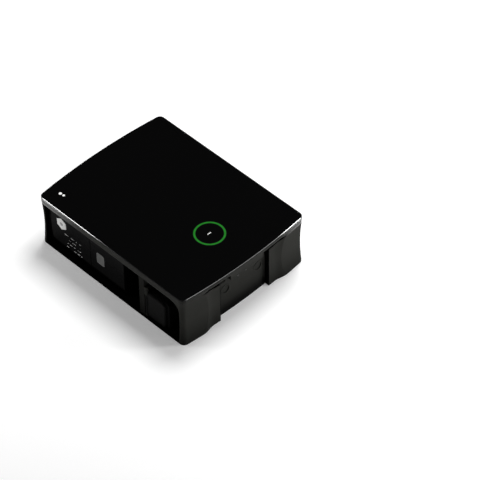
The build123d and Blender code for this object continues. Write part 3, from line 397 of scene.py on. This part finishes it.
# Boards and what stands on them
# Green glass-fibre boards with a solder mask, carrying relays, terminals, the fault-current ring
# and a small supply. Eight screws hold them to standoffs, and all of it is sealed in the housing.
forward = (0, 0, 1)
short_screw = 0.009
board_top = 0.0196
board_seats = [(x, y, board_top) for x in (-0.0755, 0.1345) for y in (-0.13, 0.0181, 0.0521, 0.143)]
screw_set("board_screws", board_seats, [forward] * len(board_seats), short_screw)
solder_mask = moulded(
    "solder_mask", (0.012, 0.075, 0.03), (0.018, 0.1, 0.04), (0.2, 0.19, 0.12), (0.3, 0.42),
    fineness=1200.0, depth=0.00002,
)
dress(solder_mask, "power_board", "control_board")
black_moulding = moulded(
    "black_moulding", (0.014, 0.014, 0.0145), (0.02, 0.02, 0.021), (0.04, 0.04, 0.04), (0.4, 0.52)
)
dress(black_moulding, "current_sensor", "power_supply", "cable_clamp")
relay_case = moulded(
    "relay_case", (0.02, 0.021, 0.024), (0.028, 0.029, 0.033), (0.06, 0.06, 0.065), (0.3, 0.4)
)
dress(relay_case, "power_relays")
grey_case = moulded("grey_case", (0.3, 0.31, 0.31), (0.36, 0.37, 0.37), (0.42, 0.43, 0.43), (0.42, 0.52))
dress(grey_case, "supply_terminals")
tinned = moulded(
    "tinned_sheet", (0.55, 0.55, 0.54), (0.66, 0.66, 0.65), (0.74, 0.74, 0.73), (0.28, 0.4),
    fineness=700.0, depth=0.00001, metal=1.0, radius=0.0003,
)
dress(tinned, "network_jack")
brass = moulded(
    "earth_brass", (0.58, 0.4, 0.15), (0.7, 0.5, 0.2), (0.8, 0.62, 0.3), (0.26, 0.4),
    fineness=700.0, depth=0.00001, metal=1.0, radius=0.0003,
)
dress(brass, "earth_stud")
rubber = moulded(
    "black_rubber", (0.011, 0.011, 0.011), (0.016, 0.016, 0.016), (0.02, 0.02, 0.02), (0.7, 0.82), fineness=1300.0
)
dress(rubber, "entry_grommets")
clamp_screw = 0.021
clamp_seats = [(x, -0.165, 0.036) for x in (0.0255, 0.0635)]
screw_set("clamp_screws", clamp_seats, [forward] * len(clamp_seats), clamp_screw)

# Charging socket
# A black heat-resistant tower with the round well of a seven-pole socket. The carrier holds
# silver-plated sleeves in three rows and four screws from behind hold the tower to the bay floor.
socket_black = moulded(
    "socket_black", (0.0032, 0.0032, 0.0033), (0.0045, 0.0045, 0.0047), (0.005, 0.005, 0.005), (0.5, 0.6),
    fineness=2200.0, shine=0.03,
)
dress(socket_black, "socket_housing", "contact_carrier")
silver = moulded(
    "silver_plate", (0.74, 0.73, 0.7), (0.84, 0.83, 0.8), (0.9, 0.9, 0.88), (0.18, 0.3),
    fineness=900.0, depth=0.000006, metal=1.0, radius=0.0002,
)
dress(silver, "socket_contacts")
bay_back = -0.1125
tower_seats = [(bay_back, y, z) for y in (-0.1479, -0.1019) for z in (0.011, 0.063)]
screw_set("socket_screws", tower_seats, [(1, 0, 0)] * len(tower_seats), short_screw)

# Socket lock
# A small motor box on the upper side of the tower, held by two screws, pushes a ground steel bolt
# into the well. The bolt slides in a guide and locks the socket while the car takes current.
bolt_steel = moulded(
    "ground_steel", (0.46, 0.46, 0.47), (0.58, 0.58, 0.59), (0.72, 0.72, 0.73), (0.2, 0.3),
    fineness=900.0, depth=0.000006, metal=1.0, radius=0.0002,
)
dress(bolt_steel, "lock_bolt")
dress(socket_black, "lock_actuator")
actuator_seats = [(-0.1368, -0.0909, z) for z in (0.01, 0.064)]
screw_set("actuator_screws", actuator_seats, [(0, 1, 0)] * len(actuator_seats), short_screw)

# Socket flap
# A satin charcoal cover that turns on a steel pin between two ears of the post. A torsion spring
# closes it on to a rubber ring round the well.
flap_satin = moulded(
    "flap_satin", (0.0075, 0.0075, 0.0074), (0.0098, 0.0098, 0.0096), (0.02, 0.02, 0.02), (0.34, 0.42),
    fineness=2000.0, depth=0.00003, shine=satin_shine,
)
dress(flap_satin, "socket_flap")
dress(bolt_steel, "flap_hinge_pin", "flap_spring")
dress(socket_black, "flap_seal")

# Energy meter
# A white cased meter is screwed down on two feet behind the side wall. Its face shows through
# a pale window that is set into the trim sheet of the recess.
meter_white = moulded(
    "meter_white", (0.56, 0.56, 0.54), (0.62, 0.62, 0.6), (0.68, 0.68, 0.66), (0.36, 0.46)
)
dress(meter_white, "energy_meter")
meter_screw = 0.005
meter_seats = [(-0.1235, y, 0.007) for y in (0.0183, 0.0623)]
screw_set("meter_screws", meter_seats, [forward] * len(meter_seats), meter_screw)
window_pale = moulded(
    "window_pale", (0.078, 0.08, 0.077), (0.093, 0.095, 0.091), (0.26, 0.26, 0.26), (0.12, 0.2),
    fineness=300.0, depth=0.000004,
)
dress(window_pale, "meter_window")

# Side panels
# Two black trim sheets are bonded side by side to the floor of the recess. The upper one
# carries a white hexagon badge and rows of small printed marks.
panel_black = moulded(
    "panel_black", (0.0042, 0.0042, 0.0043), (0.0058, 0.0058, 0.006), (0.008, 0.008, 0.008), (0.1, 0.16),
    fineness=160.0, depth=0.000004, shine=0.009,
)
# Painted shade: the sheets darken towards the floor of the bay.
painted_foot_shade(panel_black, ((0.0, 0.05), (0.04, 0.18), (0.07, 0.75), (0.1, 1.0)))
dress(panel_black, "label_panel", "meter_panel")
print_white = moulded(
    "print_white", (0.8, 0.8, 0.785), (0.86, 0.86, 0.845), (0.88, 0.88, 0.87), (0.5, 0.6),
    fineness=2600.0, depth=0.00001,
)
print_grey = moulded(
    "print_grey", (0.32, 0.32, 0.32), (0.38, 0.38, 0.38), (0.4, 0.4, 0.4), (0.5, 0.6),
    fineness=2600.0, depth=0.00001,
)


def raised_shape(name, outline, seat, height, material):
    """A thin closed plate: the outline drawn on the seat plane and raised from it, its rim slightly bevelled."""
    shape = bmesh.new()
    bottom = shape.faces.new([shape.verts.new((x, y, 0.0)) for x, y in outline])
    top = bmesh.ops.extrude_face_region(shape, geom=[bottom])
    lifted = [item for item in top["geom"] if isinstance(item, bmesh.types.BMVert)]
    bmesh.ops.translate(shape, verts=lifted, vec=(0, 0, height))
    bmesh.ops.recalc_face_normals(shape, faces=shape.faces)
    rim = [edge for edge in shape.edges if all(vert.co.z > height / 2 for vert in edge.verts)]
    bmesh.ops.bevel(shape, geom=rim, offset=height * 0.4, segments=1, affect="EDGES")
    shape.transform(seat)
    mesh = bpy.data.meshes.new(name)
    shape.to_mesh(mesh)
    shape.free()
    mesh.materials.append(material)
    piece = bpy.data.objects.new(name, mesh)
    scene.collection.objects.link(piece)
    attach(piece, "housing")


def round_outline(radius, sides=40, start=0.0):
    """Points of a circle or of a regular polygon, the first at the start angle."""
    angles = [start + math.tau * step / sides for step in range(sides)]
    return [(radius * math.cos(angle), radius * math.sin(angle)) for angle in angles]


badge_height = 0.00025
print_height = 0.0001
panel_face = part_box("label_panel")[0].x
side_axes = Matrix(((0, 0, -1, 0), (-1, 0, 0, 0), (0, 1, 0, 0), (0, 0, 0, 1)))
badge_seat = Matrix.Translation((panel_face, 0.1535, 0.0757)) @ side_axes
hexagon = round_outline(0.0152, 6, math.radians(30))
raised_shape("hexagon_badge", hexagon, badge_seat, badge_height, print_white)
dot_seat = badge_seat @ Matrix.Translation((0, 0, badge_height))
raised_shape("badge_dot", round_outline(0.0042), dot_seat, print_height, print_grey)

# Each mark is a small bar, and about half of the places in the rows stay empty
mark_wishes = {
    "Row length": ("Float", 0.05),
    "Rows height": ("Float", 0.032),
    "Marks": ("Int", 15),
    "Rows": ("Int", 4),
    "Mark": ("Float", 0.0015),
    "Seed": ("Int", 11),
    "Ink": ("Material", print_white),
}
bar_height = 0.00012
bar_stretch = 1.3
shortest_bar = (0.5, 0.7, 1.0)
longest_bar = (1.9, 1.3, 1.0)
empty_share = 0.5
marks_tree = bpy.data.node_groups.new("printed_rows", "GeometryNodeTree")
marks_tree.interface.new_socket("Geometry", in_out="INPUT", socket_type="NodeSocketGeometry")
mark_sockets = {
    label: marks_tree.interface.new_socket(label, in_out="INPUT", socket_type="NodeSocket" + kind)
    for label, (kind, value) in mark_wishes.items()
}
marks_tree.interface.new_socket("Geometry", in_out="OUTPUT", socket_type="NodeSocketGeometry")
wanted = marks_tree.nodes.new("NodeGroupInput").outputs
grid = add_node(
    marks_tree, "GeometryNodeMeshGrid",
    Size_X=wanted["Row length"], Size_Y=wanted["Rows height"], Vertices_X=wanted["Marks"], Vertices_Y=wanted["Rows"],
)
dropped = add_node(
    marks_tree, "FunctionNodeRandomValue", {"data_type": "BOOLEAN"}, Probability=empty_share, Seed=wanted["Seed"]
)
kept = add_node(
    marks_tree, "GeometryNodeDeleteGeometry", {"domain": "POINT"},
    Geometry=grid.outputs["Mesh"], Selection=dropped.outputs["Value"],
)
bar_size = add_node(
    marks_tree, "ShaderNodeCombineXYZ",
    X=calc(marks_tree, "MULTIPLY", wanted["Mark"], bar_stretch), Y=wanted["Mark"], Z=bar_height,
)
bar = add_node(marks_tree, "GeometryNodeMeshCube", Size=bar_size.outputs["Vector"])
stretch = add_node(
    marks_tree, "FunctionNodeRandomValue", {"data_type": "FLOAT_VECTOR"},
    Min=shortest_bar, Max=longest_bar, Seed=wanted["Seed"],
)
laid = add_node(
    marks_tree, "GeometryNodeInstanceOnPoints",
    Points=kept.outputs["Geometry"], Instance=bar.outputs["Mesh"], Scale=stretch.outputs["Value"],
)
real_marks = add_node(marks_tree, "GeometryNodeRealizeInstances", Geometry=laid.outputs["Instances"])
inked = add_node(
    marks_tree, "GeometryNodeSetMaterial", Geometry=real_marks.outputs["Geometry"], Material=wanted["Ink"]
)
feed(marks_tree, marks_tree.nodes.new("NodeGroupOutput").inputs["Geometry"], inked.outputs["Geometry"])
marks = bpy.data.objects.new("panel_marks", bpy.data.meshes.new("panel_marks"))
scene.collection.objects.link(marks)
marks_maker = marks.modifiers.new("rows", "NODES")
marks_maker.node_group = marks_tree
for label, (kind, value) in mark_wishes.items():
    marks_maker[mark_sockets[label].identifier] = value
make_plain(marks)
marks.data.transform(Matrix.Translation((panel_face - bar_height / 2, 0.122, 0.038)) @ side_axes)
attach(marks, "housing")

# Front frame
# A charcoal moulding under the glass. Its lower end carries the set-back panel, which two screws
# hold to the housing, and two blind plugs close its round entries. A soft ring seals it all round.
frame_satin = moulded(
    "frame_satin", (0.024, 0.0242, 0.0218), (0.031, 0.0313, 0.0283), (0.036, 0.036, 0.033), (0.34, 0.42),
    shine=satin_shine,
)
# Painted shade: the frame and its set-back panel darken towards the floor, and the rim's clear coat rises towards
# the top end and the right hand side as painted sheen.
painted_foot_shade(frame_satin, ((0.0, 0.0), (0.012, 0.08), (0.02, 0.3), (0.03, 0.62), (0.045, 0.85), (0.07, 1.0)))
rim_coat_with_painted_sheen(frame_satin, rim_foot)
dress(frame_satin, "front_frame", "entry_plugs")
dress(rubber, "cover_gasket")
half_width = 0.166
lower_end_y = -0.215
bow_height = 0.0097
bow_radius = (half_width**2 + bow_height**2) / (2 * bow_height)
bow_centre = bow_radius + lower_end_y


def lower_end(x, z, inset):
    """Seat and facing of a piece on the bowed lower end."""
    y = bow_centre - math.sqrt((bow_radius - inset) ** 2 - x**2)
    return (x, y, z), Vector((x, y - bow_centre, 0)).normalized()


blackened = moulded(
    "blackened_steel", (0.012, 0.012, 0.012), (0.018, 0.018, 0.018), (0.05, 0.05, 0.05), (0.36, 0.48),
    fineness=900.0, depth=0.00001, radius=0.0002,
)
cover_seats, cover_facings = zip(*(lower_end(x, 0.0835, 0.01645) for x in (-0.011, 0.011)))
screw_set("cover_screws", cover_seats, cover_facings, short_screw, blackened)

# Light ring
# Twelve lamps on a round board shine up through a clear ring in a black cup, and the ring shows
# green through a clear band in the print of the glass. The card reader's coil lies under the board.
ring_y = -0.11
ring_board_back = 0.1164
ring_screw = 0.0046
screw_circle = 0.0445
screw_angles = [math.radians(90 + 120 * step) for step in range(3)]
ring_seats = [
    (screw_circle * math.cos(angle), ring_y + screw_circle * math.sin(angle), ring_board_back)
    for angle in screw_angles
]
screw_set("ring_board_screws", ring_seats, [(0, 0, -1)] * len(ring_seats), ring_screw)
dress(solder_mask, "led_ring_board")
dress(black_moulding, "light_guide_holder")
dress(meter_white, "ring_leds")
copper = moulded(
    "coil_copper", (0.6, 0.28, 0.14), (0.72, 0.38, 0.2), (0.8, 0.46, 0.28), (0.24, 0.36),
    fineness=700.0, depth=0.00001, metal=1.0, radius=0.0002,
)
dress(copper, "rfid_coil")
guide_green = moulded("guide_green", (0.02, 0.3, 0.04), (0.03, 0.36, 0.05), (0.06, 0.5, 0.1), (0.2, 0.3))
dress(guide_green, "led_light_guide")

# The lit band is brightest over each lamp and along its middle
ring_core = 0.03025
core_half = 0.0011
glow_half = 0.0026
foot_half = 0.0027
glow_height = 0.00008
lamp_count = 12
lit_green = (0.0095, 0.205, 0.0105)
between_lamps = 0.85
glow_at_rim = 0.02
ring_lit, ring_tree, ring_finish = new_material("ring_lit")
ring_where = add_node(ring_tree, "ShaderNodeTexCoord").outputs["Object"]
ring_centred = add_node(ring_tree, "ShaderNodeMapping", Vector=ring_where, Location=(0, -ring_y, 0))
ring_axes = add_node(ring_tree, "ShaderNodeSeparateXYZ", Vector=ring_centred.outputs["Vector"]).outputs
ring_angle = calc(ring_tree, "ARCTAN2", ring_axes["Y"], ring_axes["X"])
lamp_wave = calc(ring_tree, "COSINE", calc(ring_tree, "MULTIPLY", ring_angle, lamp_count))
over_lamp = add_node(ring_tree, "ShaderNodeMapRange", Value=lamp_wave, From_Min=-1.0, From_Max=1.0)
dim_green = [part * between_lamps for part in lit_green]
lamp_glow = mixed(ring_tree, over_lamp.outputs["Result"], (*dim_green, 1), (*lit_green, 1))
ring_flat = add_node(ring_tree, "ShaderNodeCombineXYZ", X=ring_axes["X"], Y=ring_axes["Y"])
ring_reach = add_node(ring_tree, "ShaderNodeVectorMath", {"operation": "LENGTH"}, Vector=ring_flat.outputs["Vector"])
off_core = calc(ring_tree, "ABSOLUTE", calc(ring_tree, "SUBTRACT", ring_reach.outputs["Value"], ring_core))
core_fade = add_node(
    ring_tree, "ShaderNodeMapRange", {"interpolation_type": "SMOOTHSTEP"},
    Value=off_core, From_Min=core_half, From_Max=glow_half, To_Min=1.0, To_Max=glow_at_rim,
)
ring_glow_colour = mixed(ring_tree, 1.0, lamp_glow, core_fade.outputs["Result"], blend="MULTIPLY")
feed(ring_tree, ring_finish["Base Color"], (0.004, 0.012, 0.005, 1))
feed(ring_tree, ring_finish["Roughness"], 0.12)
feed(ring_tree, ring_finish["Emission Color"], ring_glow_colour)
feed(ring_tree, ring_finish["Emission Strength"], 1.0)

glass_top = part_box("front_glass")[1].z
ring_sides = 120
ring_section = ((-foot_half, 0.0), (-glow_half, glow_height), (glow_half, glow_height), (foot_half, 0.0))
ring_shape = bmesh.new()
ring_rows = [
    [
        ring_shape.verts.new((x, y + ring_y, glass_top + height))
        for x, y in round_outline(ring_core + offset, ring_sides)
    ]
    for offset, height in ring_section
]
for inner, outer in zip(ring_rows, ring_rows[1:] + ring_rows[:1]):
    for step in range(ring_sides):
        after = (step + 1) % ring_sides
        ring_shape.faces.new((inner[step], outer[step], outer[after], inner[after]))
bmesh.ops.recalc_face_normals(ring_shape, faces=ring_shape.faces)
ring_mesh = bpy.data.meshes.new("ring_glow")
ring_shape.to_mesh(ring_mesh)
ring_shape.free()
ring_mesh.materials.append(ring_lit)
ring_glow = bpy.data.objects.new("ring_glow", ring_mesh)
scene.collection.objects.link(ring_glow)
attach(ring_glow, "housing")

dash_half = 0.0038
dash_radius = 0.00092
dash_steps = 12
dash = [
    (end * dash_half + dash_radius * math.cos(angle), dash_radius * math.sin(angle))
    for end, start in ((1, -90), (-1, 90))
    for angle in [math.radians(start + 180 * step / dash_steps) for step in range(dash_steps + 1)]
]
dash_seat = Matrix.Translation((-0.0006, -0.1094, glass_top)) @ Matrix.Rotation(math.radians(-5), 4, "Z")
raised_shape("ring_dash", dash, dash_seat, print_height, print_white)

# Front glass
# A toughened sheet, printed black from behind, covers the whole front. Its ground and polished edge
# has no print and catches the light. Two small pips are printed at its upper left corner.
edge_middle = glass_top - 0.00036
edge_half = 0.00034
cut_side_top = glass_top - 0.0007
glass_black, glass_tree, glass_finish = new_material("printed_glass")
glass_z = place_axes(glass_tree)["Z"]
ground_edge = calc(glass_tree, "COMPARE", glass_z, edge_middle, edge_half)
cut_side = calc(glass_tree, "LESS_THAN", glass_z, cut_side_top)
smears = add_node(glass_tree, "ShaderNodeGroup", {"node_tree": grain_group}, Fineness=60.0, Cloud_size=9.0)
glass_colour = mixed(glass_tree, ground_edge, (0.0008, 0.0008, 0.00085, 1), (0.012, 0.0122, 0.0124, 1))
edge_gloss = mixed(glass_tree, ground_edge, uneven_gloss(glass_tree, smears, 0.03, 0.05), 0.1, "FLOAT")
feed(glass_tree, glass_finish["Base Color"], glass_colour)
feed(glass_tree, glass_finish["Roughness"], mixed(glass_tree, cut_side, edge_gloss, 0.95, "FLOAT"))
feed(glass_tree, glass_finish["IOR"], 1.5)
dress(glass_black, "front_glass")
for number, (x, y, radius) in enumerate(((-0.1319, 0.1795, 0.0034), (-0.1308, 0.171, 0.0028)), 1):
    pip_seat = Matrix.Translation((x, y, glass_top))
    raised_shape(f"glass_pip_{number}", round_outline(radius), pip_seat, print_height, print_white)

# Floor and lamps
# A pale floor under the wallbox, one large soft lamp high behind it on the right, and four smaller
# soft lamps that draw the bright lines along the edges of the glass.
floor_half = 8.0
floor_drop = 0.0002
floor_lift = 0.25
floor_corners = [(x * floor_half, y * floor_half, 0) for x, y in ((-1, -1), (1, -1), (1, 1), (-1, 1))]
floor_mesh = bpy.data.meshes.new("floor")
floor_mesh.from_pydata(floor_corners, [], [(0, 1, 2, 3)])
floor = bpy.data.objects.new("floor", floor_mesh)
floor.location.z = -floor_drop
scene.collection.objects.link(floor)
floor_white, floor_tree, floor_finish = new_material("floor_white")
ray = add_node(floor_tree, "ShaderNodeLightPath").outputs
seen_or_mirrored = calc(floor_tree, "MAXIMUM", ray["Is Camera Ray"], ray["Is Glossy Ray"])
seen_at_all = calc(floor_tree, "MAXIMUM", seen_or_mirrored, ray["Is Transmission Ray"])
feed(floor_tree, floor_finish["Base Color"], (0.8, 0.8, 0.8, 1))
feed(floor_tree, floor_finish["Roughness"], 0.9)
feed(floor_tree, floor_finish["Specular IOR Level"], 0.0)
feed(floor_tree, floor_finish["Emission Color"], (1, 1, 1, 1))
feed(floor_tree, floor_finish["Emission Strength"], calc(floor_tree, "MULTIPLY", seen_at_all, floor_lift))
floor_mesh.materials.append(floor_white)
world = bpy.data.worlds.new("studio")
world.use_nodes = True
world.node_tree.nodes["Background"].inputs["Color"].default_value = (0.03, 0.03, 0.03, 1)
scene.world = world


def soft_lamp(name, place, target, long_side, length, width, power):
    """A soft lamp that faces the target, with its long side turned to the given direction."""
    lamp = bpy.data.lights.new(name, "AREA")
    lamp.shape = "RECTANGLE"
    lamp.size = length
    lamp.size_y = width
    lamp.energy = power
    holder = bpy.data.objects.new(name, lamp)
    back = (Vector(place) - Vector(target)).normalized()
    upper = back.cross(Vector(long_side)).normalized()
    turn = Matrix((upper.cross(back), upper, back)).transposed().to_4x4()
    holder.matrix_world = Matrix.Translation(place) @ turn
    scene.collection.objects.link(holder)


soft_lamp("key_lamp", (1.0, 0.3, 2.4), (0, 0, 0), (0, 1, 0), 1.2, 1.2, 66.0)
soft_lamp("left_strip", (-0.759, 0.65, 0.51), (-0.166, 0.2, 0.126), (0, 1, 0), 0.26, 0.08, 2.7)
soft_lamp("front_strip", (0.72, -1.46, 0.99), (0.0, -0.215, 0.126), (0.68, 0.15, -0.155), 0.9, 0.2, 3.2)
soft_lamp("corner_strip", (0.095, -1.5, 1.13), (-0.155, -0.205, 0.126), (1, 0, -0.1), 0.8, 0.2, 0.8)
soft_lamp("right_strip", (1.25, -1.29, 0.855), (0.16, -0.205, 0.126), (0.27, 0.1, -0.076), 0.34, 0.2, 14.0)
